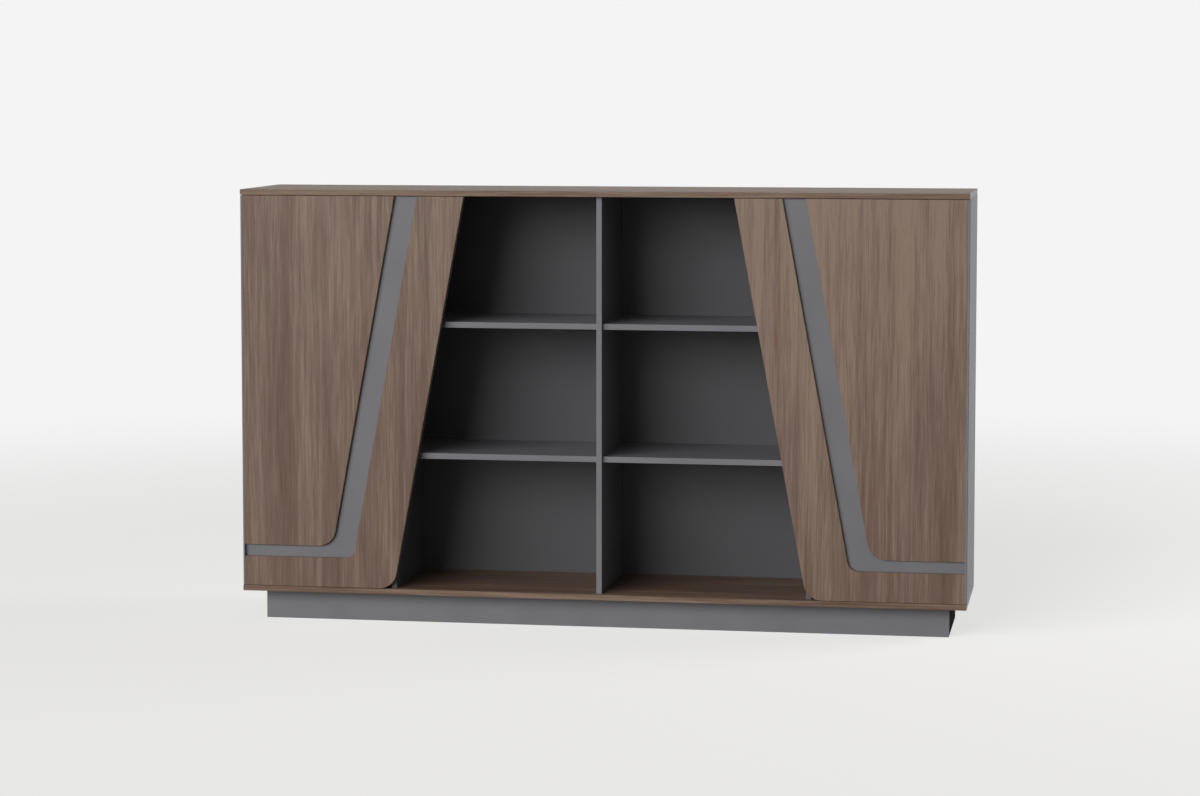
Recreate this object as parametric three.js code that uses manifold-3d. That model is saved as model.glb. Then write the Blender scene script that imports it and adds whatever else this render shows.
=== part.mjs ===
// Office credenza: a long cabinet with a slant-edged door at each end and six open bays between them.
// Millimetres, +Z up. The origin lies on the floor under the middle of the cabinet,
// +X is to the right of someone who faces the doors, and -Y is towards them.

import * as THREE from 'three';
import { mergeVertices } from 'three/addons/utils/BufferGeometryUtils.js';
import Module from 'manifold-3d';

const wasm = await Module();
wasm.setup();

// Overall size
const width = 2000;
const depth = 400;
const height = 1200;

// Board thicknesses
const topThickness = 15;
const bottomThickness = 15;
const sideThickness = 15;
const partitionThickness = 15;
const dividerThickness = 15;
const shelfThickness = 16;
const backThickness = 9;
const edgingThickness = 1;

// Bays, from the bottom board upwards; the upper bay takes what is left under the top
const lowerBayHeight = 360;
const middleBayHeight = 347;
const partitionDistance = 567; // middle of the cabinet to a partition's face in the bay
const bayShelfSetback = 11; // shelf edge behind the front of the divider
const cabinetShelfSetback = 28; // shelf edge behind the front of the side panel

// Back panels, which slide into grooves in the boards round them
const backInset = 18; // rear face of the back panels to the rear of the cabinet
const grooveDepth = 5;
const fitClearance = 0.3;

// Plinth frame
const plinthHeight = 85;
const plinthThickness = 15;
const plinthFrontSetback = 64;
const plinthSideSetback = 50;
const plinthBackSetback = 10;

// Doors: a grey base board that carries a field panel and an L-shaped border panel,
// with the base showing between the two as a sunk groove
const doorBaseThickness = 9;
const facingThickness = 9;
const doorGap = 2; // back of the door to the front of the carcass
const doorReveal = 5.5; // side panel's edge that shows outside the door
const doorTopGap = 1.5;
const doorBottomGap = 1;
const doorFootDistance = 570; // middle of the cabinet to the slanted edge, at the door's foot
const doorHeadDistance = 370; // the same, at the door's head
const doorCornerRadius = 50;
const borderWidth = 129; // slanted leg of the border, square to its edge
const borderLegHeight = 81.5;
const borderCornerRadius = 30;
const grooveWidth = 61; // slanted run of the groove, square to its edge
const grooveLegHeight = 32.5;
const fieldCornerRadius = 50;

// Concealed hinge: a cup bored into the door, a bowed link, and an arm on a mounting plate
const cupBoreRadius = 17.5;
const cupEdgeDistance = 4.5; // edge of the bore to the edge of the door
const cupDepth = 11;
const cupWall = 1.2;
const flangeRadius = 19.5;
const flangeThickness = 1.2;
const earLength = 60;
const earWidth = 18;
const earOffset = 9.5; // middle of the ears to the middle of the cup
const earCornerRadius = 7;
const pivotWallGap = 4.5; // pivot in the cup to the cup's outer wall
const pivotDepth = 4.5; // pivot in the cup below the back of the door
const pinRadius = 1.5;
const eyeRadius = 3;
const linkLength = 22; // pivot to pivot
const linkTilt = 10; // degrees that the link leans forward with the door shut
const linkBow = 4.9; // rise of the bow, which clears the rim of the cup
const linkThickness = 2.8;
const linkWidth = 11;
const armWidth = 16;
const armThickness = 5;
const armLength = 44; // straight stretch on the plate
const plateHeight = 8; // raised seat of the arm
const plateSeatWidth = 14;
const plateSetback = 20; // front of the plate behind the front of the side panel
const wingSetback = 37; // screw line behind the front of the side panel
const wingThickness = 2.5;
const wingWidth = 16;
const wingLength = 50;
const wingCornerRadius = 6;
const runningClearance = 0.25;

// Facets on round features
const cupSteps = 20;
const pinSteps = 8;
const doorArcSteps = 12;
const hingeArcSteps = 4;
const overrun = 2; // how far a cutting tool passes the face that it cuts

// Planes and levels that several pieces share
const front = -depth / 2;
const rear = depth / 2;
const bayFloor = plinthHeight + bottomThickness;
const underTop = height - topThickness;
const sideInner = width / 2 - sideThickness;
const partitionOuter = partitionDistance + partitionThickness;
const dividerFace = dividerThickness / 2;
const doorBack = front + facingThickness + doorBaseThickness;
const carcassFront = doorBack + doorGap;
const backPanelRear = rear - backInset;
const backPanelFront = backPanelRear - backThickness;
const lowerShelf = bayFloor + lowerBayHeight;
const middleBayFloor = lowerShelf + shelfThickness;
const upperShelf = middleBayFloor + middleBayHeight;
const upperBayFloor = upperShelf + shelfThickness;

const sides = { left: -1, right: 1 };

// Finishes
function finish(color, roughness, metalness = 0) {
  return () => new THREE.MeshStandardMaterial({ color, roughness, metalness });
}
const walnut = finish(0x7b695d, 0.5);
const greyBoard = finish(0x7d7d80, 0.6);
const darkGreyBoard = finish(0x6f6f73, 0.6);
const greyEdging = finish(0x858487, 0.5);
const nickelSteel = finish(0xb8babd, 0.3, 1);

// A closed solid from a geometry: positions only, shared corners merged, no flattened triangles.
function solidOf(geometry) {
  const bare = geometry.clone();
  bare.deleteAttribute('normal');
  bare.deleteAttribute('uv');
  const merged = mergeVertices(bare);
  const corners = merged.index.array;
  const triangles = [];
  for (let i = 0; i < corners.length; i += 3) {
    const [a, b, c] = corners.slice(i, i + 3);
    if (a !== b && b !== c && c !== a) {
      triangles.push(a, b, c);
    }
  }
  const mesh = new wasm.Mesh({
    numProp: 3,
    vertProperties: new Float32Array(merged.attributes.position.array),
    triVerts: new Uint32Array(triangles),
  });
  return new wasm.Manifold(mesh);
}

// A geometry from a solid.
function geometryOf(solid) {
  const { vertProperties, triVerts } = solid.getMesh();
  const geometry = new THREE.BufferGeometry();
  geometry.setAttribute('position', new THREE.BufferAttribute(vertProperties, 3));
  geometry.setIndex(new THREE.BufferAttribute(triVerts, 1));
  geometry.computeVertexNormals();
  return geometry;
}

// A mirror image across x: each triangle turns round so that it still faces out.
function mirrored(geometry) {
  const copy = geometry.clone().scale(-1, 1, 1);
  const corners = copy.index.array;
  for (let i = 0; i < corners.length; i += 3) {
    [corners[i], corners[i + 1]] = [corners[i + 1], corners[i]];
  }
  copy.computeVertexNormals();
  return copy;
}

function named(name, geometry, material) {
  const mesh = new THREE.Mesh(geometry, material());
  mesh.name = name;
  return mesh;
}

// The box between two limits on each axis.
function box(x, y, z) {
  return new THREE.Box3(new THREE.Vector3(x[0], y[0], z[0]), new THREE.Vector3(x[1], y[1], z[1]));
}

// Limits across the cabinet for distances measured from its middle, on either side.
function across(side, near, far) {
  return side > 0 ? [near, far] : [-far, -near];
}

function blockIn(space, origin) {
  const size = space.getSize(new THREE.Vector3());
  const offset = space.getCenter(new THREE.Vector3()).sub(origin);
  return new THREE.BoxGeometry(size.x, size.y, size.z).translate(offset.x, offset.y, offset.z);
}

// A board that fills a box, less the seats cut into it.
function board(name, material, space, seats = []) {
  const centre = space.getCenter(new THREE.Vector3());
  let solid = solidOf(blockIn(space, centre));
  for (const seat of seats) {
    solid = solid.subtract(solidOf(blockIn(seat, centre)));
  }
  const mesh = named(name, geometryOf(solid), material);
  mesh.position.copy(centre);
  return mesh;
}

// A closed outline through corners [a, b, radius], each rounded by an arc that touches both its edges.
function outline(corners) {
  const shape = new THREE.Shape();
  const points = corners.map(([a, b]) => new THREE.Vector2(a, b));
  const count = corners.length;
  corners.forEach(([, , radius = 0], i) => {
    const point = points[i];
    const toLast = points[(i + count - 1) % count].clone().sub(point).normalize();
    const toNext = points[(i + 1) % count].clone().sub(point).normalize();
    const half = Math.acos(toLast.dot(toNext)) / 2;
    const start = point.clone().addScaledVector(toLast, radius / Math.tan(half));
    if (i === 0) {
      shape.moveTo(start.x, start.y);
    } else {
      shape.lineTo(start.x, start.y);
    }
    if (radius > 0) {
      const inward = toLast.clone().add(toNext).normalize();
      const centre = point.clone().addScaledVector(inward, radius / Math.sin(half));
      const end = point.clone().addScaledVector(toNext, radius / Math.tan(half));
      const startAngle = start.clone().sub(centre).angle();
      const endAngle = end.clone().sub(centre).angle();
      const clockwise = toLast.cross(toNext) > 0;
      shape.absarc(centre.x, centre.y, radius, startAngle, endAngle, clockwise);
    }
  });
  return shape;
}

function extruded(shape, length, curveSegments = hingeArcSteps) {
  return new THREE.ExtrudeGeometry(shape, { depth: length, bevelEnabled: false, curveSegments });
}

// A shape drawn in x and z, given its thickness towards the front from y = 0.
function facingForward(shape, thickness, curveSegments) {
  const outward = new THREE.Vector3(1, 0, 0);
  const up = new THREE.Vector3(0, 0, 1);
  const forward = new THREE.Vector3(0, -1, 0);
  const turn = new THREE.Matrix4().makeBasis(outward, up, forward);
  return extruded(shape, thickness, curveSegments).applyMatrix4(turn);
}

// A shape drawn in y and z, given its thickness towards +x from x = 0.
function facingSideways(shape, thickness) {
  const backward = new THREE.Vector3(0, 1, 0);
  const up = new THREE.Vector3(0, 0, 1);
  const outward = new THREE.Vector3(1, 0, 0);
  const turn = new THREE.Matrix4().makeBasis(backward, up, outward);
  return extruded(shape, thickness).applyMatrix4(turn);
}

// A shape drawn in x and y, given its height about z = 0.
function upright(shape, length) {
  return extruded(shape, length).translate(0, 0, -length / 2);
}

function uprightPin(at, radius, length) {
  const turned = new THREE.CylinderGeometry(radius, radius, length, pinSteps).rotateX(Math.PI / 2);
  return solidOf(turned.translate(at.x, at.y, 0));
}

function roundedRectangle(a, b, radius) {
  const [a0, a1] = a;
  const [b0, b1] = b;
  return outline([[a0, b0, radius], [a1, b0, radius], [a1, b1, radius], [a0, b1, radius]]);
}

// Carcass: boards with grooves for the back panels
const backTongue = grooveDepth - fitClearance;
const rooms = [];
for (const [sideName, side] of Object.entries(sides)) {
  rooms.push({ name: `${sideName}_cabinet`, side, near: partitionOuter, far: sideInner });
  rooms.push({ name: `${sideName}_bay`, side, near: dividerFace, far: partitionDistance });
}
const backPanels = rooms.map((room) => box(
  across(room.side, room.near - backTongue, room.far + backTongue),
  [backPanelFront, backPanelRear],
  [bayFloor - backTongue, underTop + backTongue],
));
const backGrooves = backPanels.map((panel) => panel.clone().expandByScalar(fitClearance));

function makeCarcass() {
  const carcass = new THREE.Group();
  const boardEnd = width / 2 - edgingThickness;
  const fullDepth = [front, rear];
  const topLevels = [underTop, height];
  const bottomLevels = [plinthHeight, bayFloor];
  const uprightDepth = [carcassFront, rear];
  const uprightLevels = [bayFloor, underTop];

  const topSpace = box([-boardEnd, boardEnd], fullDepth, topLevels);
  const bottomSpace = box([-boardEnd, boardEnd], fullDepth, bottomLevels);
  const dividerSpace = box([-dividerFace, dividerFace], uprightDepth, uprightLevels);
  carcass.add(board('top_panel', walnut, topSpace, backGrooves));
  carcass.add(board('bottom_panel', walnut, bottomSpace, backGrooves));
  carcass.add(board('centre_divider', greyBoard, dividerSpace, backGrooves));

  for (const [sideName, side] of Object.entries(sides)) {
    const sideSpace = box(across(side, sideInner, width / 2), uprightDepth, uprightLevels);
    const partitionSpace = box(across(side, partitionDistance, partitionOuter), uprightDepth, uprightLevels);
    const endBand = across(side, boardEnd, width / 2);
    carcass.add(board(`${sideName}_side_panel`, greyBoard, sideSpace, backGrooves));
    carcass.add(board(`${sideName}_partition`, greyBoard, partitionSpace, backGrooves));
    carcass.add(board(`top_${sideName}_edging`, greyEdging, box(endBand, fullDepth, topLevels)));
    carcass.add(board(`bottom_${sideName}_edging`, greyEdging, box(endBand, fullDepth, bottomLevels)));
  }
  rooms.forEach((room, i) => carcass.add(board(`${room.name}_back`, darkGreyBoard, backPanels[i])));
  return carcass;
}

// Shelves between the uprights, two to each room
function makeShelves() {
  const shelves = new THREE.Group();
  const levels = { lower: lowerShelf, upper: upperShelf };
  for (const room of rooms) {
    const setback = room.name.endsWith('bay') ? bayShelfSetback : cabinetShelfSetback;
    const shelfDepth = [carcassFront + setback, backPanelFront - fitClearance];
    for (const [levelName, level] of Object.entries(levels)) {
      const space = box(across(room.side, room.near, room.far), shelfDepth, [level, level + shelfThickness]);
      shelves.add(board(`${room.name}_${levelName}_shelf`, greyBoard, space));
    }
  }
  return shelves;
}

// Plinth: a frame of rails set back under the bottom board
function makePlinth() {
  const plinth = new THREE.Group();
  const end = width / 2 - plinthSideSetback;
  const railLevels = [0, plinthHeight];
  const frontRail = [front + plinthFrontSetback, front + plinthFrontSetback + plinthThickness];
  const backRail = [rear - plinthBackSetback - plinthThickness, rear - plinthBackSetback];
  const between = [frontRail[1], backRail[0]];
  const halfBrace = plinthThickness / 2;
  plinth.add(board('plinth_front_rail', darkGreyBoard, box([-end, end], frontRail, railLevels)));
  plinth.add(board('plinth_back_rail', darkGreyBoard, box([-end, end], backRail, railLevels)));
  plinth.add(board('plinth_brace', darkGreyBoard, box([-halfBrace, halfBrace], between, railLevels)));
  for (const [sideName, side] of Object.entries(sides)) {
    const rail = box(across(side, end - plinthThickness, end), between, railLevels);
    plinth.add(board(`plinth_${sideName}_rail`, darkGreyBoard, rail));
  }
  return plinth;
}

// Doors: outlines in x and z, for the door on one side
const doorBottom = bayFloor + doorBottomGap;
const doorTop = underTop - doorTopGap;
const doorOuter = width / 2 - doorReveal;
const grooveFloorEdge = doorBottom + borderLegHeight;
const fieldBottom = grooveFloorEdge + grooveLegHeight;
const slantRun = doorFootDistance - doorHeadDistance;
const slantRise = doorTop - doorBottom;
const slantStretch = Math.hypot(slantRun, slantRise) / slantRise;
const cupCentreDistance = cupEdgeDistance + cupBoreRadius;
const hingeLevels = {
  lower: (bayFloor + lowerShelf) / 2,
  middle: (middleBayFloor + upperShelf) / 2,
  upper: (upperBayFloor + underTop) / 2,
};

// Distance from the cabinet's middle, at height z, of a line parallel to the slanted edge
// that lies outside it by an offset square to the edge.
function slantAt(z, offset) {
  return doorFootDistance - slantRun * (z - doorBottom) / slantRise + offset * slantStretch;
}

function baseCorners() {
  return [
    [slantAt(doorBottom, 0), doorBottom, doorCornerRadius],
    [doorOuter, doorBottom],
    [doorOuter, doorTop],
    [slantAt(doorTop, 0), doorTop],
  ];
}

function borderCorners() {
  return [
    [slantAt(doorBottom, 0), doorBottom, doorCornerRadius],
    [doorOuter, doorBottom],
    [doorOuter, grooveFloorEdge],
    [slantAt(grooveFloorEdge, borderWidth), grooveFloorEdge, borderCornerRadius],
    [slantAt(doorTop, borderWidth), doorTop],
    [slantAt(doorTop, 0), doorTop],
  ];
}

function fieldCorners() {
  const offset = borderWidth + grooveWidth;
  return [
    [slantAt(fieldBottom, offset), fieldBottom, fieldCornerRadius],
    [doorOuter, fieldBottom],
    [doorOuter, doorTop],
    [slantAt(doorTop, offset), doorTop],
  ];
}

// A door board with its back at y = back, bored for the hinge cups where they reach it.
function doorBoard(side, corners, back, thickness, bores) {
  const placed = corners.map(([x, z, radius]) => [side * x, z, radius]);
  let solid = solidOf(facingForward(outline(placed), thickness, doorArcSteps).translate(0, back, 0));
  for (const bore of bores) {
    solid = solid.subtract(bore);
  }
  return geometryOf(solid);
}

function makeDoor(sideName, side) {
  const door = new THREE.Group();
  const boreDepth = cupDepth + fitClearance;
  const bores = Object.values(hingeLevels).map((level) => {
    const tool = new THREE.CylinderGeometry(cupBoreRadius, cupBoreRadius, boreDepth + overrun, cupSteps);
    const middle = (overrun - boreDepth) / 2;
    return solidOf(tool.translate(side * (doorOuter - cupCentreDistance), middle, level));
  });
  const facingBack = -doorBaseThickness;
  const base = doorBoard(side, baseCorners(), 0, doorBaseThickness, bores);
  const border = doorBoard(side, borderCorners(), facingBack, facingThickness, bores);
  const field = doorBoard(side, fieldCorners(), facingBack, facingThickness, bores);
  door.add(named(`${sideName}_door_base`, base, greyBoard));
  door.add(named(`${sideName}_door_border`, border, walnut));
  door.add(named(`${sideName}_door_field`, field, walnut));
  door.position.y = doorBack;
  return door;
}

// Concealed hinge, drawn for the right-hand door: x from the side panel's inner face, outwards,
// y from the front of the carcass, backwards, and z from the middle of the hinge
const cupCentre = doorOuter - sideInner - cupCentreDistance;
const cupOuterRadius = cupBoreRadius - fitClearance;
const cupInnerRadius = cupOuterRadius - cupWall;
const cupMouth = fitClearance - doorGap;
const cupPivot = new THREE.Vector2(cupCentre + cupInnerRadius - pivotWallGap, -doorGap - pivotDepth);
const tilt = THREE.MathUtils.degToRad(linkTilt);
const armPivot = new THREE.Vector2(
  cupPivot.x - linkLength * Math.cos(tilt),
  cupPivot.y + linkLength * Math.sin(tilt),
);

// A pressed bowl with a flange, two screw ears, and the pin that the link turns on.
function cupGeometry() {
  const floor = cupWall - cupDepth;
  const profile = [
    [0, -cupDepth],
    [cupOuterRadius, -cupDepth],
    [cupOuterRadius, 0],
    [flangeRadius, 0],
    [flangeRadius, flangeThickness],
    [cupInnerRadius, flangeThickness],
    [cupInnerRadius, floor],
    [0, floor],
  ].map(([x, y]) => new THREE.Vector2(x, y));
  const bowl = solidOf(new THREE.LatheGeometry(profile, cupSteps).translate(cupCentre, cupMouth, 0));

  const earMiddle = cupCentre - earOffset;
  const earShape = roundedRectangle(
    [earMiddle - earWidth / 2, earMiddle + earWidth / 2],
    [-earLength / 2, earLength / 2],
    earCornerRadius,
  );
  const ears = solidOf(facingForward(earShape, flangeThickness).translate(0, cupMouth + flangeThickness, 0));
  const mouthTool = new THREE.CylinderGeometry(cupInnerRadius, cupInnerRadius, cupDepth, cupSteps);
  const mouth = solidOf(mouthTool.translate(cupCentre, cupMouth, 0));

  const pinReach = cupInnerRadius + cupWall / 2;
  const pinEnds = new THREE.CylinderGeometry(pinReach, pinReach, 2 * cupDepth, cupSteps);
  const pin = uprightPin(cupPivot, pinRadius, 2 * pinReach)
    .intersect(solidOf(pinEnds.translate(cupCentre, cupMouth, 0)));
  return geometryOf(bowl.add(ears.subtract(mouth)).add(pin));
}

// A bowed strap from pivot to pivot, with an eye at each end.
function linkGeometry() {
  const bowRadius = (linkLength ** 2 / 4 + linkBow ** 2) / (2 * linkBow);
  const middle = armPivot.clone().add(cupPivot).divideScalar(2);
  const alongLink = cupPivot.clone().sub(armPivot).normalize();
  const behind = new THREE.Vector2(-alongLink.y, alongLink.x);
  const bowCentre = middle.addScaledVector(behind, bowRadius - linkBow);
  const startAngle = armPivot.clone().sub(bowCentre).angle();
  const endAngle = cupPivot.clone().sub(bowCentre).angle();
  const strapShape = new THREE.Shape();
  const halfStrap = linkThickness / 2;
  strapShape.absarc(bowCentre.x, bowCentre.y, bowRadius + halfStrap, startAngle, endAngle, false);
  strapShape.absarc(bowCentre.x, bowCentre.y, bowRadius - halfStrap, endAngle, startAngle, true);
  let link = solidOf(upright(strapShape, linkWidth));
  for (const pivot of [armPivot, cupPivot]) {
    link = link.add(uprightPin(pivot, eyeRadius, linkWidth));
  }
  for (const pivot of [armPivot, cupPivot]) {
    link = link.subtract(uprightPin(pivot, pinRadius + runningClearance, linkWidth + overrun));
  }
  return geometryOf(link);
}

// A bar on the plate whose neck leans into the cup and forks round the link's eye.
function armGeometry() {
  const seat = -plateHeight;
  const bar = box(
    [seat - armThickness, seat],
    [plateSetback, plateSetback + armLength],
    [-armWidth / 2, armWidth / 2],
  );
  const neckFoot = new THREE.Vector2(seat - armThickness / 2, plateSetback);
  const lean = armPivot.clone().sub(neckFoot).angle();
  const neckShape = new THREE.Shape();
  const quarter = Math.PI / 2;
  neckShape.absarc(armPivot.x, armPivot.y, eyeRadius, lean - quarter, lean + quarter, false);
  neckShape.absarc(neckFoot.x, neckFoot.y, armThickness / 2, lean + quarter, lean + 3 * quarter, false);
  const slotRadius = eyeRadius + 2 * runningClearance;
  const slotWidth = linkWidth + 2 * runningClearance;
  const arm = solidOf(blockIn(bar, new THREE.Vector3()))
    .add(solidOf(upright(neckShape, armWidth)))
    .subtract(uprightPin(armPivot, slotRadius, slotWidth))
    .add(uprightPin(armPivot, pinRadius, armWidth));
  return geometryOf(arm);
}

// A winged plate screwed to the side panel, with a raised seat for the arm.
function plateGeometry() {
  const wing = roundedRectangle(
    [wingSetback - wingWidth / 2, wingSetback + wingWidth / 2],
    [-wingLength / 2, wingLength / 2],
    wingCornerRadius,
  );
  const seat = box(
    [-plateHeight, 0],
    [plateSetback, plateSetback + armLength],
    [-plateSeatWidth / 2, plateSeatWidth / 2],
  );
  const wings = solidOf(facingSideways(wing, wingThickness).translate(-wingThickness, 0, 0));
  return geometryOf(wings.add(solidOf(blockIn(seat, new THREE.Vector3()))));
}

function makeHinges() {
  const hinges = new THREE.Group();
  const pieces = {
    cup: cupGeometry(),
    link: linkGeometry(),
    arm: armGeometry(),
    plate: plateGeometry(),
  };
  for (const [sideName, side] of Object.entries(sides)) {
    for (const [levelName, level] of Object.entries(hingeLevels)) {
      const hinge = new THREE.Group();
      hinge.position.set(side * sideInner, carcassFront, level);
      for (const [pieceName, geometry] of Object.entries(pieces)) {
        const handed = side > 0 ? geometry.clone() : mirrored(geometry);
        hinge.add(named(`${sideName}_${levelName}_hinge_${pieceName}`, handed, nickelSteel));
      }
      hinges.add(hinge);
    }
  }
  return hinges;
}

const credenza = new THREE.Group();
credenza.add(makeCarcass());
credenza.add(makeShelves());
credenza.add(makePlinth());
for (const [sideName, side] of Object.entries(sides)) {
  credenza.add(makeDoor(sideName, side));
}
credenza.add(makeHinges());

export default credenza;
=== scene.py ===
"""Office credenza: veneered boards, slant-edged doors with a sunk grey groove, concealed hinges.

Lengths are metres in the cabinet's own frame: x to the right, y to the rear, z up from the floor.
"""

import math

import bpy
import numpy as np
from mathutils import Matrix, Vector


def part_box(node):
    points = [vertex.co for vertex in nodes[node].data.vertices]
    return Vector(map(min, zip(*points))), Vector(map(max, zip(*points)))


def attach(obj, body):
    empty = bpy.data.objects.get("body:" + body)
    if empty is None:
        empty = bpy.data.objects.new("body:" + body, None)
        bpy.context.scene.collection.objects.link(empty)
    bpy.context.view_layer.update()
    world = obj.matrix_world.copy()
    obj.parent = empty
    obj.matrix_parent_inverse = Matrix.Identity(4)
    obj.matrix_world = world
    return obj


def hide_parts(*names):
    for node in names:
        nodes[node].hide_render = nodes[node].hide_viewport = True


bl_info = {
    "name": "Office credenza",
    "version": (1, 0, 0),
    "blender": (4, 5, 0),
    "location": "3D View > Sidebar > Credenza",
    "description": "Dresses the credenza's boards, doors and hinges, and sets its stage",
    "category": "Object",
}

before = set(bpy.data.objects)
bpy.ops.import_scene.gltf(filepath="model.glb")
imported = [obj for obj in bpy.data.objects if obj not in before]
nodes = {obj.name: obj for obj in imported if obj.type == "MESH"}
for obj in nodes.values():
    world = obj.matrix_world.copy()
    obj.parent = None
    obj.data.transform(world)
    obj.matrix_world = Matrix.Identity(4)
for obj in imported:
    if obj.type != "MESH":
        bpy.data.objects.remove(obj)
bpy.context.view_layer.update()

MM = 0.001
SIDES = {"left": -1, "right": 1}
LEVELS = ("lower", "middle", "upper")
ROOMS = ("left_cabinet", "left_bay", "right_bay", "right_cabinet")

# how much lighter than plain walnut each piece is drawn, and how much lighter again per metre
# along its grain. This is painted light on one walnut: the top board is drawn lighter than the
# bottom board, and the doors, whose grain runs up, grow lighter towards their heads as painted
# light from above; the right door is drawn a little lighter than the left.
VENEER_LIFT_AND_PAINTED_LIGHT = {"left": (-0.09, 0.22), "right": (-0.04, 0.41), "top": (0.3, 0), "bottom": (0.05, 0)}
DOOR_LOG, BOARD_LOG = (0.13, 0.05, 0), (0.31, 0.17, 0.42)  # where in the log the veneer of the doors and of the boards is cut

# hinge screws: in from the side panel's face, up and down from the hinge's level, and back from
# the front of the plate
EAR_IN, EAR_RISE = 22 * MM, 24 * MM
WING_IN, WING_RISE, WING_RUN = 2.5 * MM, 16 * MM, 17 * MM
ARM_IN, ARM_RUNS = 13 * MM, (10 * MM, 33 * MM)
# fitting caps: in from a board's ends, and back from its front
CAP_RISE, CAP_RUNS = 34 * MM, (60 * MM, 290 * MM)

WELD_DISTANCE = 0.01 * MM
SHARP_ANGLE = math.radians(40)
FLOOR_RINGS = (0.02, 1, 2, 3, 4, 6, 9, 20, 60)
SENSOR_WIDTH, CAMERA_REACH = 36, 300

# sockets of a Mix node that mixes colours
FACTOR, FIRST, SECOND, MIXED = 0, 6, 7, 2


def linear(hex_colour):
    """Linear light from an sRGB hex colour: each part's eight bits go through the sRGB curve."""
    parts = np.array([int(hex_colour[i:i + 2], 16) for i in (0, 2, 4)]) / 255
    return np.where(parts <= 0.04045, parts / 12.92, ((parts + 0.055) / 1.055) ** 2.4).tolist()


def colour(name, description, hex_colour):
    """A colour property whose default is an sRGB hex value."""
    return bpy.props.FloatVectorProperty(
        name=name, description=description, subtype="COLOR", size=3, min=0, max=1,
        default=linear(hex_colour))


def number(name, description, default, **kind):
    """A number property. kind is its unit or subtype, and its limits."""
    return bpy.props.FloatProperty(name=name, description=description, default=default, **kind)


def length(name, description, default):
    """A length property, in metres."""
    return number(name, description, default, unit="LENGTH", min=0)


def point(name, description, default):
    """A property that holds a place, in metres."""
    return bpy.props.FloatVectorProperty(
        name=name, description=description, subtype="XYZ", unit="LENGTH", default=default)


class CredenzaFinishes(bpy.types.PropertyGroup):
    """Colours of the boards and fittings."""

    walnut_dark: colour("Dark walnut", "Late wood and the darkest streaks of the veneer", "584135")
    walnut_middle: colour("Walnut", "Most of the veneer", "765f52")
    walnut_light: colour("Light walnut", "Early wood between the streaks", "968071")
    board_grey: colour("Grey board", "Side panels, divider and shelves", "76767a")
    back_grey: colour("Back panel grey", "Back panels of the bays and cabinets", "454548")
    # painted shade: the partitions are drawn darker than the grey board, as they stand in the
    # doors' shadow
    partition_shade_grey: colour("Partition grey", "Partitions at the ends of the bays", "545457")
    plinth_grey: colour("Plinth grey", "Front rail, back rail and brace of the plinth", "747477")
    # painted shade: the plinth's side rails are drawn near black for the shade under the cabinet's
    # overhang
    plinth_side_shade_grey: colour("Plinth side grey", "Side rails of the plinth", "3a3a3d")
    groove_grey: colour("Groove grey", "Door base that shows in the groove", "717174")
    edging_grey: colour("Edging grey", "End bands, door lippings and fitting caps", "7c7b7e")
    nickel: colour("Nickel plate", "Hinges and screws", "b9babc")


class CredenzaSizes(bpy.types.PropertyGroup):
    """Sizes of the door facings, and of the details that finish boards, doors and hinges."""

    slant_foot: length("Slant foot", "Cabinet's middle to the slanted edge at its foot", 570 * MM)
    slant_head: length("Slant head", "Cabinet's middle to the slanted edge at its head", 370 * MM)
    door_corner: length("Door corner", "Radius on the door's corner under the slant", 50 * MM)
    border_width: length("Border width", "Width of the border along the slant", 129 * MM)
    border_leg: length("Border leg", "Height of the border along the foot", 81.5 * MM)
    border_corner: length("Border corner", "Radius on the border's inner corner", 30 * MM)
    groove_width: length("Groove width", "Width of the groove along the slant", 61 * MM)
    groove_height: length("Groove height", "Height of the groove along the foot", 32.5 * MM)
    field_corner: length("Field corner", "Radius on the field's corner in the groove", 50 * MM)
    facing_corner: length("Facing corner", "Radius on the facings' square corners", 2.6 * MM)
    facing_easing: length("Facing easing", "Radius on the straight edges of the facings", 0.8 * MM)
    slant_easing: length("Slant easing", "Radius on the slanted edges of the facings", 2.5 * MM)
    board_easing: length("Board easing", "Radius on the edges of the grey boards", 0.7 * MM)
    thin_easing: length("Thin easing", "Radius on veneered boards, end bands and backs", 0.3 * MM)
    hinge_easing: length("Hinge easing", "Radius on the edges of the hinge pieces", 0.25 * MM)
    lipping_width: length("Lipping width", "Grey strip on the hinge edge of each door", 4.8 * MM)
    lipping_depth: length("Lipping depth", "Depth of the grey strip, from the front", 12 * MM)
    cup_inset: length("Cup inset", "Hinge edge of the door to the middle of a cup", 22 * MM)
    pocket_radius: length("Pocket radius", "Radius of the pockets for the cups", 17.5 * MM)
    pocket_play: length("Pocket play", "Space under the cups in the pockets", 0.2 * MM)
    screw_radius: length("Screw head radius", "Radius of the hinge screws' heads", 3.6 * MM)
    cap_radius: length("Cap radius", "Radius of the caps over the cam fittings", 8.5 * MM)


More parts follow.
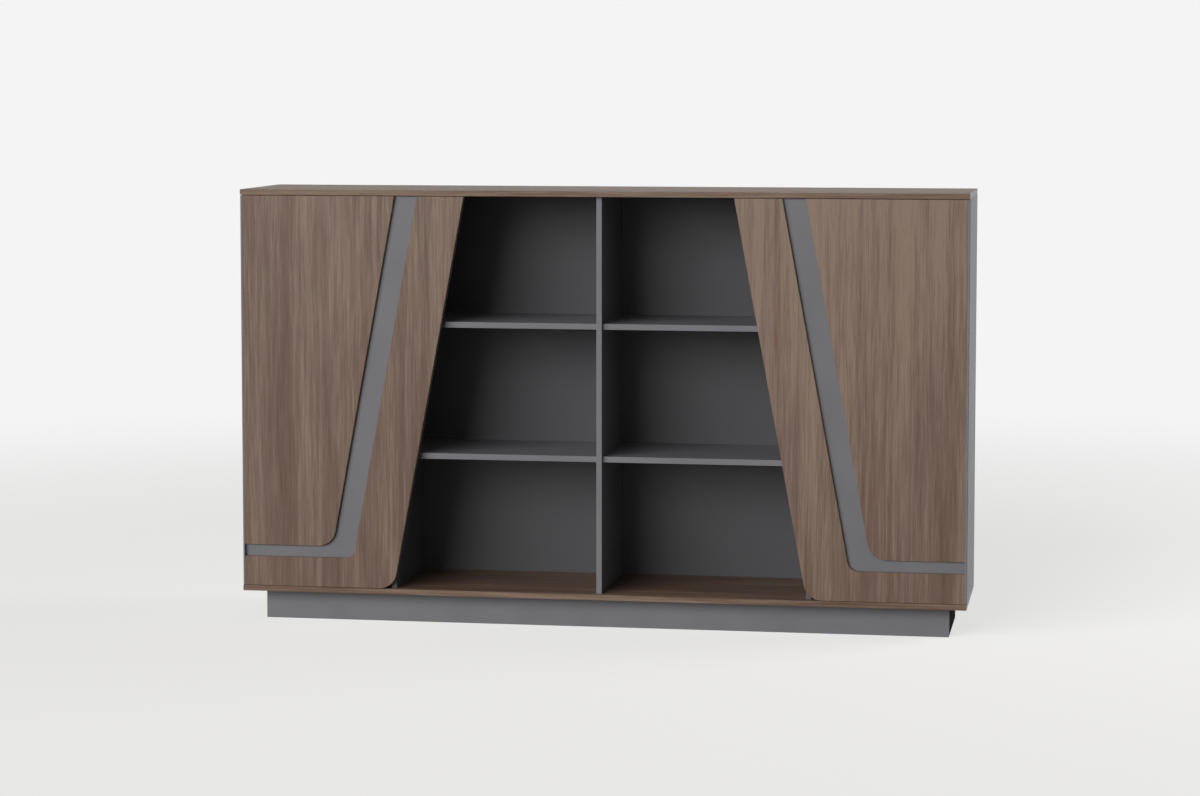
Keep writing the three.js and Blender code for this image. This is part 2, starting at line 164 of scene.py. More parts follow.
class CredenzaStage(bpy.types.PropertyGroup):
    """Camera, lights and floor."""

    camera_place: point("Camera place", "Where the camera stands", (1.4074, -8.4525, 1.5043))
    camera_turn: number("Camera turn", "Turn of the camera to the left of straight ahead", 0.1682,
                        subtype="ANGLE")
    camera_tilt: number("Camera tilt", "Tilt of the camera below the level", 0.0797,
                        subtype="ANGLE")
    camera_shift: number("Camera shift", "Rise of the lens, in image widths", -0.06)
    camera_lens: number("Lens", "Focal length on a frame 36 mm wide", 93.015, unit="CAMERA")
    window_place: point("Window place", "Middle of the broad light at the left",
                        (-15.3, -24.7, 9.0))
    window_aim: point("Window aim", "Point that the broad light faces", (0, -0.2, 0.7))
    window_width: length("Window width", "Width of the broad light", 29)
    window_height: length("Window height", "Height of the broad light", 14.4)
    window_power: number("Window power", "Power of the broad light", 8500, unit="POWER")
    side_place: point("Side place", "Middle of the light on the right-hand end", (4.6, 1.6, 1.9))
    side_aim: point("Side aim", "Point that the side light faces", (1, 0, 0.7))
    side_size: length("Side size", "Width and height of the side light", 2)
    side_power: number("Side power", "Power of the side light", 78, unit="POWER")
    ambient: number("Ambient", "Strength of the even light from all round", 0.02)
    paper: colour("Paper", "Background and far floor", "f4f4f4")
    floor: colour("Floor", "Floor under the cabinet", "bcbab6")
    floor_glow: number("Floor glow", "Strength of the paper's white over the near floor", 0.7)
    floor_return: number("Floor return", "Lightness of the floor to the light it throws back",
                         0.12)
    fade_start: length("Fade start", "Distance at which the floor starts to fade to paper", 2)
    fade_end: length("Fade end", "Distance at which only paper is left", 6)


def add(tree, kind, links=(), values=(), stops=(), **settings):
    """Adds a shader node: settings are its own properties, values and links go to its sockets,
    and stops are (place, colour) pairs of a colour ramp."""
    made = tree.nodes.new("ShaderNode" + kind)
    for name, value in settings.items():
        setattr(made, name, value)
    for socket, value in dict(values).items():
        made.inputs[socket].default_value = value
    for socket, source in dict(links).items():
        tree.links.new(source, made.inputs[socket])
    for i, (place, tint) in enumerate(stops):
        elements = made.color_ramp.elements
        element = elements[i] if i < 2 else elements.new(place)
        element.position, element.color = place, (*tint, 1)
    return made


def new_material(name, **values):
    """A material with a Principled shader, whose constant sockets get these values."""
    material = bpy.data.materials.new(name)
    material.use_nodes = True
    tree = material.node_tree
    shader = tree.nodes["Principled BSDF"]
    for socket, value in values.items():
        shader.inputs[socket.replace("_", " ")].default_value = value
    return material, tree, shader


def fibres(tree, place, width, run, detail, roughness=0.5):
    """Noise drawn out along the pattern's z axis: features about width across and run long."""
    stretch = add(tree, "Mapping", {"Vector": place},
                  {"Scale": (1 / width, 1 / width, 1 / run)})
    noise = add(tree, "TexNoise", {"Vector": stretch.outputs["Vector"]},
                {"Scale": 1, "Detail": detail, "Roughness": roughness})
    return noise.outputs["Fac"]


def walnut_veneer(name, finishes, turn, log, lift_and_painted_light, sheen):
    """Sliced walnut under satin lacquer. The eye sees broad bands of colour a hand wide,
    darker streaks of late wood that wander a little, fine fibre between them and open pores.
    turn brings the grain to the pattern's z axis, and log is where the veneer is cut. The last
    argument holds how much lighter the piece is drawn, and how much lighter again per metre along
    the grain; that rise is painted light, which on the doors, whose grain runs up, lightens their
    upper parts."""
    lift, rise = lift_and_painted_light
    material, tree, shader = new_material(name, Specular_IOR_Level=sheen)
    place = add(tree, "TexCoord").outputs["Object"]
    grain = add(tree, "Mapping", {"Vector": place}, {"Rotation": turn, "Location": log})
    grain = grain.outputs["Vector"]

    # the fibres sway by a few millimetres over a third of a metre of length
    sway = fibres(tree, grain, width=70 * MM, run=380 * MM, detail=1)
    sway = add(tree, "Math", {0: sway}, {1: 11 * MM}, operation="MULTIPLY")
    sideways = add(tree, "CombineXYZ", {"X": sway.outputs[0]})
    wood = add(tree, "VectorMath", {0: grain, 1: sideways.outputs[0]}, operation="ADD").outputs[0]

    bands = fibres(tree, wood, width=70 * MM, run=1500 * MM, detail=2)
    streaks = fibres(tree, wood, width=11 * MM, run=320 * MM, detail=3, roughness=0.6)
    fine = fibres(tree, wood, width=3.2 * MM, run=110 * MM, detail=3, roughness=0.65)
    hue = fibres(tree, wood, width=22 * MM, run=600 * MM, detail=1)
    # pores are 0.2 mm wide in the wood, and drawn at 0.8 mm so that they show
    pores = fibres(tree, wood, width=0.8 * MM, run=16 * MM, detail=1)

    # bands and streaks count in full and fine fibre a little less, and their usual sum fills
    # the ramp from dark to light
    tone = add(tree, "Math", {0: bands, 1: streaks}, operation="ADD")
    tone = add(tree, "Math", {0: fine, 2: tone.outputs[0]}, {1: 0.9}, operation="MULTIPLY_ADD")
    tone = add(tree, "MapRange", {"Value": tone.outputs[0]},
               {"From Min": 1.03, "From Max": 1.87, "To Min": lift, "To Max": 1 + lift})
    # painted light: the tone climbs with height along the grain, lightening the doors' upper parts
    height = add(tree, "SeparateXYZ", {0: grain}).outputs["Z"]
    tone = add(tree, "Math", {0: height, 2: tone.outputs[0]}, {1: rise}, operation="MULTIPLY_ADD")
    ramp = add(tree, "ValToRGB", {"Fac": tone.outputs[0]}, stops=(
        (0, finishes.walnut_dark), (1, finishes.walnut_light), (0.5, finishes.walnut_middle)))
    pore = add(tree, "MapRange", {"Value": pores},
               {"From Min": 0.6, "From Max": 0.72, "To Max": 0.3})
    # some streaks lean to rose and some to olive
    lean = add(tree, "ValToRGB", {"Fac": hue}, stops=(
        (0.34, (1, 0.955, 0.97)), (0.66, (0.975, 1, 0.945))))
    wash = add(tree, "Mix", {FIRST: ramp.outputs["Color"], SECOND: lean.outputs["Color"]},
               {FACTOR: 1}, data_type="RGBA", blend_type="MULTIPLY")
    dark = add(tree, "Mix", {FACTOR: pore.outputs[0], FIRST: wash.outputs[MIXED]},
               {SECOND: (*finishes.walnut_dark, 1)}, data_type="RGBA")
    tree.links.new(dark.outputs[MIXED], shader.inputs["Base Color"])

    gloss = add(tree, "MapRange", {"Value": fine}, {"To Min": 0.52, "To Max": 0.4})
    tree.links.new(gloss.outputs[0], shader.inputs["Roughness"])
    relief = add(tree, "Math", {0: pore.outputs[0], 1: fine}, operation="SUBTRACT")
    bump = add(tree, "Bump", {"Height": relief.outputs[0]},
               {"Strength": 0.25, "Distance": 0.1 * MM}, invert=True)
    tree.links.new(bump.outputs["Normal"], shader.inputs["Normal"])
    return material


def melamine(name, tint, roughness=0.5, sheen=0.4):
    """Melamine-faced board, pressed against a lightly textured plate. The eye sees an even grey
    with a faint speckle from the printed paper and a fine pearl in the reflections. Moulded or
    extruded ABS of the same grey, in bands, lippings and caps, looks alike and is glossier."""
    material, tree, shader = new_material(name, Specular_IOR_Level=sheen)
    place = add(tree, "TexCoord").outputs["Object"]
    # paper fibres about 1 mm long, and cloudiness a hand wide
    speckle = add(tree, "TexNoise", {"Vector": place},
                  {"Scale": 1 / (1.1 * MM), "Detail": 2, "Roughness": 0.6})
    cloud = add(tree, "TexNoise", {"Vector": place}, {"Scale": 1 / (140 * MM), "Detail": 2})
    tone = add(tree, "Math", {0: speckle.outputs["Fac"], 2: cloud.outputs["Fac"]}, {1: 0.6},
               operation="MULTIPLY_ADD")
    ramp = add(tree, "ValToRGB", {"Fac": tone.outputs[0]}, stops=(
        (0.45, [part * 0.9 for part in tint]), (1, [part * 1.1 for part in tint])))
    tree.links.new(ramp.outputs["Color"], shader.inputs["Base Color"])
    gloss = add(tree, "MapRange", {"Value": cloud.outputs["Fac"]},
                {"To Min": roughness - 0.06, "To Max": roughness + 0.06})
    tree.links.new(gloss.outputs[0], shader.inputs["Roughness"])
    # the press plate's pearl is 0.3 mm wide, and drawn at 0.9 mm so that it shows
    pearl = add(tree, "TexNoise", {"Vector": place}, {"Scale": 1 / (0.9 * MM), "Detail": 1})
    bump = add(tree, "Bump", {"Height": pearl.outputs["Fac"]},
               {"Strength": 0.2, "Distance": 0.08 * MM})
    tree.links.new(bump.outputs["Normal"], shader.inputs["Normal"])
    return material


def nickel_steel(name, tint):
    """Pressed steel with dull nickel plate. The eye sees a grey mirror, blurred along the
    direction in which the strip was rolled, with faint clouds in its gloss."""
    material, tree, shader = new_material(name, Metallic=1, Anisotropic=0.3)
    place = add(tree, "TexCoord").outputs["Object"]
    rolled = fibres(tree, place, width=0.35 * MM, run=9 * MM, detail=2)
    cloud = add(tree, "TexNoise", {"Vector": place}, {"Scale": 1 / (12 * MM), "Detail": 2})
    ramp = add(tree, "ValToRGB", {"Fac": rolled}, stops=(
        (0.25, [part * 0.8 for part in tint]), (0.75, tint)))
    tree.links.new(ramp.outputs["Color"], shader.inputs["Base Color"])
    gloss = add(tree, "MapRange", {"Value": cloud.outputs["Fac"]}, {"To Min": 0.22, "To Max": 0.4})
    tree.links.new(gloss.outputs[0], shader.inputs["Roughness"])
    bump = add(tree, "Bump", {"Height": rolled}, {"Strength": 0.15, "Distance": 0.02 * MM})
    tree.links.new(bump.outputs["Normal"], shader.inputs["Normal"])
    return material


def dress(names, material, easing):
    """Gives CAD nodes a finish and eases their edges: the loose triangles are welded,
    sharp edges are rounded, and broad faces keep their flat shading."""
    for name in names:
        piece = nodes[name]
        piece.data.materials.clear()
        piece.data.materials.append(material)
        weld = piece.modifiers.new("Weld", "WELD")
        weld.merge_threshold = WELD_DISTANCE
        bevel = piece.modifiers.new("Eased edges", "BEVEL")
        bevel.width, bevel.segments = easing, 2
        bevel.limit_method, bevel.angle_limit = "ANGLE", SHARP_ANGLE
        piece.modifiers.new("Flat faces", "WEIGHTED_NORMAL")


def new_piece(name, shape, flat, material, body):
    """Puts a shape's points and faces into a mesh object that rides on a body.
    flat counts the faces at the end of the list that are shaded flat."""
    points, faces = shape
    mesh = bpy.data.meshes.new(name)
    mesh.from_pydata(points, [], faces)
    smooth = np.ones(len(faces), bool)
    smooth[len(faces) - flat:] = False
    mesh.polygons.foreach_set("use_smooth", smooth)
    mesh.materials.append(material)
    mesh.update()
    piece = bpy.data.objects.new(name, mesh)
    bpy.context.scene.collection.objects.link(piece)
    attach(piece, body)
    return piece


def ring_faces(rings, steps):
    """Quads between closed rings of points that are stored one ring after another."""
    ring, step = np.meshgrid(np.arange(rings - 1), np.arange(steps), indexing="ij")
    after = (step + 1) % steps
    quads = np.stack([ring * steps + step, ring * steps + after,
                      (ring + 1) * steps + after, (ring + 1) * steps + step], axis=-1)
    return quads.reshape(-1, 4)


def closed_faces(rings, steps):
    """Faces of a closed form: quads between its rings, then one over the first and the last."""
    last = (rings - 1) * steps
    ends = [list(range(steps))[::-1], list(range(last, last + steps))]
    return ring_faces(rings, steps).tolist() + ends


def joined(shapes):
    """Several shapes as one: their points in a row, and their faces counted on from there."""
    starts = np.cumsum([0, *(len(points) for points, _ in shapes)])
    faces = [np.add(face, start).tolist()
             for start, (_, shape_faces) in zip(starts, shapes) for face in shape_faces]
    return np.concatenate([points for points, _ in shapes]), faces


def circle(reach, steps, start=0):
    """Rings about the origin: each reach times the cosine and the sine of evenly spaced angles."""
    angle = start + np.linspace(0, 2 * math.pi, steps, endpoint=False)
    reach = np.reshape(reach, (-1, 1))
    return reach * np.cos(angle), reach * np.sin(angle)


def turned(place, axis, reach, rise, steps):
    """A closed form about a level axis through a place: rings of the given reach, from the
    middle outwards, whose points stand out along the axis by rise."""
    out, up = np.array(axis, float), np.array((0.0, 0.0, 1.0))
    across, along = circle(reach, steps)
    rise = np.broadcast_to(rise, across.shape)
    points = (np.array(place) + across[..., None] * np.cross(out, up) + along[..., None] * up
              + rise[..., None] * out)
    return points.reshape(-1, 3), closed_faces(len(across), steps)


def rounded_path(corners, steps):
    """A closed path through corners (a, b, radius), counter-clockwise, with its outward normals.
    Each corner becomes an arc that touches both its edges: the centre lies on the bisector at
    radius / sin(half the angle), and the arc turns between the two edges' normals."""
    corners = np.asarray(corners, float)
    points, radius = corners[:, :2], corners[:, 2]
    edge = np.roll(points, -1, axis=0) - points
    edge /= np.linalg.norm(edge, axis=1, keepdims=True)
    outward = np.stack([edge[:, 1], -edge[:, 0]], axis=1)
    before = np.roll(outward, 1, axis=0)
    turn = np.arctan2(before[:, 0] * outward[:, 1] - before[:, 1] * outward[:, 0],
                      (before * outward).sum(axis=1))
    bend = np.sign(turn)
    middle = before + outward
    middle /= np.linalg.norm(middle, axis=1, keepdims=True)
    centre = points - middle * (bend * radius / np.cos(turn / 2))[:, None]
    start = np.arctan2(before[:, 1], before[:, 0])
    angle = start[:, None] + turn[:, None] * np.linspace(0, 1, steps + 1)
    normal = np.stack([np.cos(angle), np.sin(angle)], axis=-1)
    path = centre[:, None] + normal * (bend * radius)[:, None, None]
    return path.reshape(-1, 2), normal.reshape(-1, 2)


def eased_panel(outline, back, front, square_corner, arc_steps=24, easing_steps=4):
    """A panel with a rounded outline in x and z between two levels of y. Its outline is a list of
    corners (x, z, radius) with the easing of the edge that follows each. The wall is the outline
    carried along a profile that runs forward from the back and turns in over the front edge by a
    quarter circle: inset = easing (1 - cos t), level = front + easing (1 - sin t). Round a corner,
    the easing changes evenly from one edge's to the next."""
    corners, easing = np.array([corner[:3] for corner in outline]), np.array(outline)[:, 3]
    corners[:, 2] = np.maximum(corners[:, 2], square_corner)
    path, normal = rounded_path(corners, arc_steps)
    share = np.linspace(0, 1, arc_steps + 1)
    easing = (np.roll(easing, 1)[:, None] * (1 - share) + easing[:, None] * share).reshape(-1)
    turn = np.linspace(0, math.pi / 2, easing_steps + 1)[:, None]
    rings, steps = easing_steps + 2, len(path)
    inset, level = np.zeros((rings, steps)), np.full((rings, steps), back)
    inset[1:] = easing * (1 - np.cos(turn))
    level[1:] = front + easing * (1 - np.sin(turn))
    plan = path - normal * inset[..., None]
    points = np.stack([plan[..., 0], level, plan[..., 1]], axis=-1)
    return points.reshape(-1, 3), closed_faces(rings, steps)


def pocketed(shape, centres, radius, floor, steps=40):
    """Sinks round pockets into the back of a four-cornered panel, along the edge that lies half
    way round it. The back, the last face but one, makes detours where that edge starts: straight
    to each rim, round it and back. A rim carried forward to the floor is the pocket's wall."""
    points, (*faces, back, front) = shape
    half = len(back) // 2
    start_corner = points[back[half - 1]]
    edge, level, _ = start_corner
    across, along = circle(radius, steps, 0 if edge > 0 else math.pi)
    detour, floors = [], []
    for x, z in centres:
        start, rim_start = len(points), len(points) + steps
        ring = np.stack([x + across[0], np.full(steps, floor), z + along[0]], axis=1)
        rim = ring + (0, level - floor, 0)
        points = np.concatenate([points, ring, rim, rim[:1], [start_corner]])
        faces += (ring_faces(2, steps) + start).tolist()
        floors.append(list(range(start, rim_start))[::-1])
        detour += range(rim_start, len(points))
    return points, faces + floors + [back[:half] + detour + back[half:], front]


def mirrored(outline):
    """The same outline on the left-hand door, still counter-clockwise seen from the front."""
    flipped = [(-x, z, radius) for x, z, radius, _ in outline[::-1]]
    easings = [corner[3] for corner in outline[::-1]]
    return [(*corner, easing) for corner, easing in zip(flipped, easings[1:] + easings[:1])]


def screw_head(place, axis, radius, steps=32):
    """A domed head with a cross recess, as heights over a polar grid. The dome falls off as the
    square of the radius; the recess sinks where the point lies within a slot's half width of
    either arm of the cross, and shallows towards the ends of the arms. The last ring goes down
    into the piece that the screw holds."""
    share = np.concatenate([np.linspace(0.06, 0.7, 9), [0.82, 0.93, 1, 1]])[:, None]
    across, along = circle(share, steps)
    dome = 0.34 * (1 - 0.75 * share ** 2)
    nearest = np.minimum(np.abs(across), np.abs(along))
    slot = np.clip((0.16 - nearest) / 0.07, 0, 1) * np.clip((0.66 - share) / 0.2, 0, 1)
    rise = dome - 0.42 * slot
    rise[-1] = -0.05
    return turned(place, axis, share * radius, rise * radius, steps)


def fitting_cap(place, axis, radius, steps=40):
    """A pressed-in cap: a shallow dome with a rounded rim, turned about its axis.
    Its height follows the profile (share of the radius, height in mm)."""
    profile = np.array([(0.08, 0.9), (0.45, 0.88), (0.8, 0.82), (0.93, 0.72), (0.985, 0.5),
                        (1, 0.25), (1, -0.3)])
    return turned(place, axis, profile[:, :1] * radius, profile[:, 1:] * MM, steps)


class CREDENZA_OT_boards(bpy.types.Operator):
    """Finish the carcass boards, shelves and plinth, and ease their edges"""

    bl_idname = "credenza.boards"
    bl_label = "Finish boards"

    def execute(self, context):
        finishes, sizes = context.scene.credenza_finishes, context.scene.credenza_sizes
        along_x = (0, math.radians(-90), 0)
        board = melamine("melamine_board_grey", finishes.board_grey)
        back = melamine("melamine_board_back", finishes.back_grey, 0.55)
        # painted shade: a darker copy of the grey board for the partitions
        partition = melamine("melamine_board_partition_shade", finishes.partition_shade_grey)
        plinth = melamine("melamine_board_plinth", finishes.plinth_grey)
        # painted shade: a dark copy of the plinth grey with no sheen, standing in for the shade
        # under the overhang
        plinth_side = melamine("melamine_board_plinth_side_shade", finishes.plinth_side_shade_grey, sheen=0)
        band = melamine("abs_edging_grey", finishes.edging_grey, 0.42)
        for name in ("top", "bottom"):
            # painted light and shade: the top board's walnut is drawn lighter and the bottom
            # board's darker
            walnut = walnut_veneer(f"walnut_veneer_{name}", finishes, along_x, BOARD_LOG,
                                   VENEER_LIFT_AND_PAINTED_LIGHT[name], sheen=0.1)
            dress([f"{name}_panel"], walnut, sizes.thin_easing)
            dress([f"{name}_{side}_edging" for side in SIDES], band, sizes.thin_easing)
        side_panels = [f"{side}_side_panel" for side in SIDES]
        shelves = [f"{room}_{level}_shelf" for room in ROOMS for level in ("lower", "upper")]
        dress(["centre_divider", *side_panels, *shelves], board, sizes.board_easing)
        dress([f"{side}_partition" for side in SIDES], partition, sizes.board_easing)
        dress([f"{room}_back" for room in ROOMS], back, sizes.thin_easing)
        dress([f"plinth_{rail}" for rail in ("front_rail", "back_rail", "brace")], plinth,
              sizes.board_easing)
        dress([f"plinth_{side}_rail" for side in SIDES], plinth_side, sizes.board_easing)
        return {"FINISHED"}


class CREDENZA_OT_doors(bpy.types.Operator):
    """Make the doors' veneered facings and grey lippings, and finish the boards under them"""

    bl_idname = "credenza.doors"
    bl_label = "Make door facings"

    def execute(self, context):
        finishes, sizes = context.scene.credenza_finishes, context.scene.credenza_sizes
        groove = melamine("melamine_board_groove", finishes.groove_grey)
        abs_grey = melamine("abs_lipping_grey", finishes.edging_grey, 0.45)
        dress([f"{side}_door_base" for side in SIDES], groove, sizes.board_easing)
        for name, side in SIDES.items():
            # painted light: each door's walnut grows lighter towards its head, and the right door
            # is drawn a little lighter
            walnut = walnut_veneer(f"walnut_veneer_{name}", finishes, (0, 0, 0), DOOR_LOG,
                                   VENEER_LIFT_AND_PAINTED_LIGHT[name], sheen=0.3)
            low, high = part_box(f"{name}_door_base")
            hinge_edge = max(abs(low.x), abs(high.x))
            outlines = self.outlines(hinge_edge, low.z, high.z, sizes)
            if side < 0:
                outlines = {part: mirrored(outline) for part, outline in outlines.items()}
            border_low, border_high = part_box(f"{name}_door_border")
            front, back = border_low.y, border_high.y
            cups = [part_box(f"{name}_{level}_hinge_cup") for level in LEVELS]
            cup_x = side * (hinge_edge - sizes.cup_inset)
            # the back meets the cups from the top down on the right, and upwards on the left
            centres = [(cup_x, (cup[0].z + cup[1].z) / 2) for cup in cups][::-side]

            border = eased_panel(outlines["border"], back, front, sizes.facing_corner)
            field = eased_panel(outlines["field"], back, front, sizes.facing_corner)
            field = pocketed(field, centres, sizes.pocket_radius,
                             cups[0][0].y - sizes.pocket_play)
            for part, shape, flat in (("border", border, 2), ("field", field, 2 + len(cups))):
                piece = new_piece(f"{name}_{part}_facing", shape, flat, walnut,
                                  f"{name}_door")
                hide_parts(f"{name}_door_{part}")
            lipping = eased_panel(outlines["lipping"], front + sizes.lipping_depth, front,
                                  sizes.facing_easing)
            new_piece(f"{name}_door_lipping", lipping, 2, abs_grey, f"{name}_door")
        return {"FINISHED"}

    def outlines(self, hinge_edge, foot, head, sizes):
        """The corners (x, z, radius) of border, field and lipping on the right-hand door, each
        with the easing of the edge after it. The slanted edges are the most rounded."""
        run = sizes.slant_foot - sizes.slant_head
        stretch = math.hypot(run, head - foot) / (head - foot)

        def slant(z, offset):
            return sizes.slant_foot - run * (z - foot) / (head - foot) + offset * stretch

        border_width, groove_foot = sizes.border_width, foot + sizes.border_leg
        field_offset = border_width + sizes.groove_width
        field_foot = groove_foot + sizes.groove_height
        lipping_edge = hinge_edge + sizes.lipping_width
        thin, full = sizes.facing_easing, sizes.slant_easing
        border = [
            (slant(foot, 0), foot, sizes.door_corner, thin),
            (hinge_edge, foot, 0, thin),
            (hinge_edge, groove_foot, 0, thin),
            (slant(groove_foot, border_width), groove_foot, sizes.border_corner, full),
            (slant(head, border_width), head, 0, thin),
            (slant(head, 0), head, 0, full),
        ]
        field = [
            (slant(field_foot, field_offset), field_foot, sizes.field_corner, thin),
            (hinge_edge, field_foot, 0, thin),
            (hinge_edge, head, 0, thin),
            (slant(head, field_offset), head, 0, full),
        ]
        lipping = [
            (hinge_edge, foot, 0, thin),
            (lipping_edge, foot, 0, thin),
            (lipping_edge, head, 0, thin),
            (hinge_edge, head, 0, thin),
        ]
        return {"border": border, "field": field, "lipping": lipping}


class CREDENZA_OT_hinges(bpy.types.Operator):
    """Finish the concealed hinges and make their screws"""

    bl_idname = "credenza.hinges"
    bl_label = "Finish hinges"

    def execute(self, context):
        finishes, sizes = context.scene.credenza_finishes, context.scene.credenza_sizes
        steel = nickel_steel("nickel_plated_steel", finishes.nickel)
        hinges = [(f"{name}_{level}_hinge", name, side)
                  for name, side in SIDES.items() for level in LEVELS]
        for hinge, name, side in hinges:
            dress([f"{hinge}_{part}" for part in ("cup", "link", "arm", "plate")], steel,
                  sizes.hinge_easing)
            cup_low, cup_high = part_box(f"{hinge}_cup")
            plate_low, plate_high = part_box(f"{hinge}_plate")
            level = (cup_low.z + cup_high.z) / 2
            panel_face, front = max(abs(plate_low.x), abs(plate_high.x)), plate_low.y
            ear_x, wing_x, arm_x = (side * (panel_face - reach)
                                    for reach in (EAR_IN, WING_IN, ARM_IN))
            ears = [(ear_x, cup_high.y, level + rise) for rise in (-EAR_RISE, EAR_RISE)]
            wings = [(wing_x, front + WING_RUN, level + rise) for rise in (-WING_RISE, WING_RISE)]
            arms = [(arm_x, front + run, level) for run in ARM_RUNS]
            for piece, places, axis, body in (
                    ("ear_screws", ears, (0, 1, 0), f"{name}_door"),
                    ("plate_screws", wings + arms, (-side, 0, 0), "carcass")):
                screws = joined([screw_head(place, axis, sizes.screw_radius) for place in places])
                new_piece(f"{hinge}_{piece}", screws, 0, steel, body)
        return {"FINISHED"}


class CREDENZA_OT_caps(bpy.types.Operator):
    """Make the caps over the cam fittings inside the cabinets"""

    bl_idname = "credenza.caps"
    bl_label = "Make fitting caps"

    def execute(self, context):
        finishes, sizes = context.scene.credenza_finishes, context.scene.credenza_sizes
        plastic = melamine("abs_cap_grey", finishes.edging_grey, 0.4)
        for name, side in SIDES.items():
            for board, facing in (("side_panel", -side), ("partition", side)):
                low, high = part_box(f"{name}_{board}")
                face = low.x if facing < 0 else high.x
                places = [(face, low.y + run, z) for z in (low.z + CAP_RISE, high.z - CAP_RISE)
                          for run in CAP_RUNS]
                caps = joined([fitting_cap(place, (facing, 0, 0), sizes.cap_radius)
                               for place in places])
                new_piece(f"{name}_{board}_caps", caps, 0, plastic, "carcass")
        return {"FINISHED"}


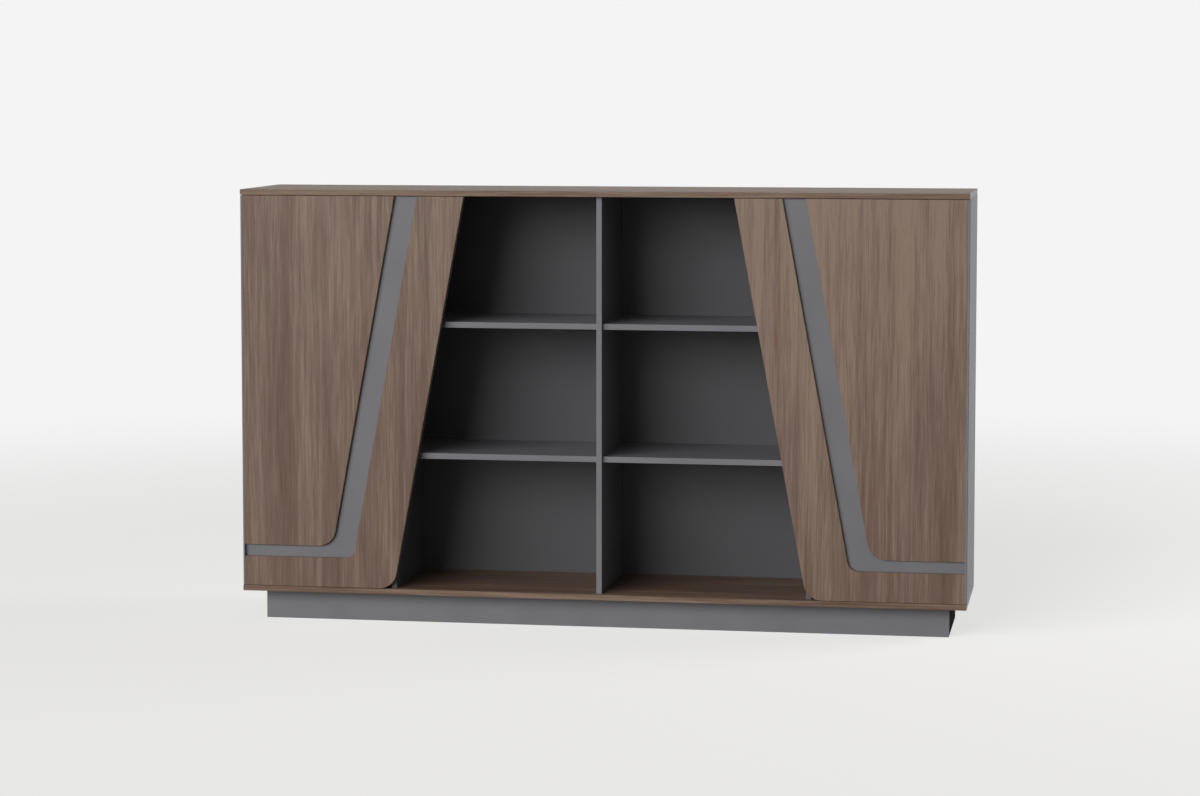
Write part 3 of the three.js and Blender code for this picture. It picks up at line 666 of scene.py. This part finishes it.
class CREDENZA_OT_stage(bpy.types.Operator):
    """Lay the floor, hang the lights and place the camera"""

    bl_idname = "credenza.stage"
    bl_label = "Set stage"

    def execute(self, context):
        stage = context.scene.credenza_stage
        context.scene.view_settings.view_transform = "Standard"
        self.lay_floor(context, stage)
        self.light_world(context, stage)
        self.hang(context, "window_light", stage.window_place, stage.window_aim,
                  (stage.window_width, stage.window_height), stage.window_power)
        self.hang(context, "side_light", stage.side_place, stage.side_aim,
                  (stage.side_size, stage.side_size), stage.side_power)
        self.place_camera(context, stage)
        return {"FINISHED"}

    def place_camera(self, context, stage):
        """A camera that looks along +y, turned to the left, tilted down and shifted."""
        camera = bpy.data.objects.new("camera", bpy.data.cameras.new("camera"))
        camera.location = stage.camera_place
        camera.rotation_euler = (math.pi / 2 - stage.camera_tilt, 0, stage.camera_turn)
        camera.data.lens, camera.data.sensor_width = stage.camera_lens, SENSOR_WIDTH
        camera.data.shift_y = stage.camera_shift
        camera.data.clip_end = CAMERA_REACH
        context.scene.collection.objects.link(camera)
        context.scene.camera = camera

    def seen(self, tree):
        """1 for the rays that should find the white background: camera, glossy, transmission."""
        path = add(tree, "LightPath").outputs
        some = add(tree, "Math", {0: path["Is Camera Ray"], 1: path["Is Glossy Ray"]},
                   operation="MAXIMUM")
        return add(tree, "Math", {0: some.outputs[0], 1: path["Is Transmission Ray"]},
                   operation="MAXIMUM").outputs[0]

    def lay_floor(self, context, stage, steps=64):
        """A disc about the cabinet, as a polar grid, whose far part fades into the paper."""
        across, along = circle(FLOOR_RINGS, steps)
        points = np.stack([across, -along, np.zeros_like(across)], axis=-1).reshape(-1, 3)
        mesh = bpy.data.meshes.new("floor")
        mesh.from_pydata(points, [], closed_faces(len(across), steps)[:-1])
        floor = bpy.data.objects.new("floor", mesh)
        context.scene.collection.objects.link(floor)

        material = bpy.data.materials.new("studio_floor")
        material.use_nodes = True
        tree = material.node_tree
        tree.nodes.clear()
        place = add(tree, "TexCoord").outputs["Object"]
        distance = add(tree, "VectorMath", {0: place}, operation="LENGTH").outputs["Value"]
        far = add(tree, "MapRange", {"Value": distance},
                  {"From Min": stage.fade_start, "From Max": stage.fade_end},
                  interpolation_type="SMOOTHSTEP").outputs[0]
        seen = self.seen(tree)
        # the light that the floor throws back at the cabinet is kept low, so the bays stay deep
        tint = add(tree, "Mix", {FACTOR: seen},
                   {FIRST: (*[stage.floor_return] * 3, 1), SECOND: (*stage.floor, 1)},
                   data_type="RGBA")
        matt = add(tree, "BsdfDiffuse", {"Color": tint.outputs[MIXED]})
        lift = add(tree, "Math", {0: seen}, {1: stage.floor_glow}, operation="MULTIPLY").outputs[0]
        glow = add(tree, "Emission", {"Strength": lift}, {"Color": (*stage.paper, 1)})
        near = add(tree, "AddShader", {0: matt.outputs[0], 1: glow.outputs[0]})
        paper = add(tree, "Emission", {"Strength": seen}, {"Color": (*stage.paper, 1)})
        both = add(tree, "MixShader", {0: far, 1: near.outputs[0], 2: paper.outputs[0]})
        add(tree, "OutputMaterial", {"Surface": both.outputs[0]})
        mesh.materials.append(material)

    def light_world(self, context, stage):
        """Even light from all round, and paper white for the rays that see the background."""
        world = bpy.data.worlds.new("studio")
        context.scene.world = world
        world.use_nodes = True
        tree = world.node_tree
        tree.nodes.clear()
        paper = add(tree, "Background", values={"Color": (*stage.paper, 1), "Strength": 1})
        even = add(tree, "Background", values={"Color": (1, 1, 1, 1), "Strength": stage.ambient})
        mixed = add(tree, "MixShader",
                    {0: self.seen(tree), 1: even.outputs[0], 2: paper.outputs[0]})
        add(tree, "OutputWorld", {"Surface": mixed.outputs[0]})

    def hang(self, context, name, place, aim, size, power):
        """A soft rectangular light at a place, turned to an aim."""
        data = bpy.data.lights.new(name, "AREA")
        data.shape, data.size, data.size_y = "RECTANGLE", *size
        data.energy = power
        light = bpy.data.objects.new(name, data)
        light.location = place
        light.rotation_euler = (Vector(aim) - Vector(place)).to_track_quat("-Z", "Y").to_euler()
        context.scene.collection.objects.link(light)


class CREDENZA_PT_panel(bpy.types.Panel):
    """Lists the steps that build the credenza, and the sizes and colours that they use"""

    bl_label = "Office credenza"
    bl_idname = "CREDENZA_PT_panel"
    bl_space_type = "VIEW_3D"
    bl_region_type = "UI"
    bl_category = "Credenza"

    def draw(self, context):
        for operator in OPERATORS:
            self.layout.operator(operator.bl_idname)
        for name, group in GROUPS.items():
            for setting in group.__annotations__:
                self.layout.prop(getattr(context.scene, name), setting)


GROUPS = {
    "credenza_finishes": CredenzaFinishes,
    "credenza_sizes": CredenzaSizes,
    "credenza_stage": CredenzaStage,
}
OPERATORS = (CREDENZA_OT_stage, CREDENZA_OT_boards, CREDENZA_OT_doors, CREDENZA_OT_hinges,
             CREDENZA_OT_caps)
CLASSES = (*GROUPS.values(), *OPERATORS, CREDENZA_PT_panel)


def register():
    for cls in CLASSES:
        bpy.utils.register_class(cls)
    for name, group in GROUPS.items():
        setattr(bpy.types.Scene, name, bpy.props.PointerProperty(type=group))


def unregister():
    for name in GROUPS:
        delattr(bpy.types.Scene, name)
    for cls in reversed(CLASSES):
        bpy.utils.unregister_class(cls)


def main():
    register()
    bpy.ops.credenza.stage()
    bpy.ops.credenza.boards()
    bpy.ops.credenza.doors()
    bpy.ops.credenza.hinges()
    bpy.ops.credenza.caps()


if __name__ == "__main__":
    main()
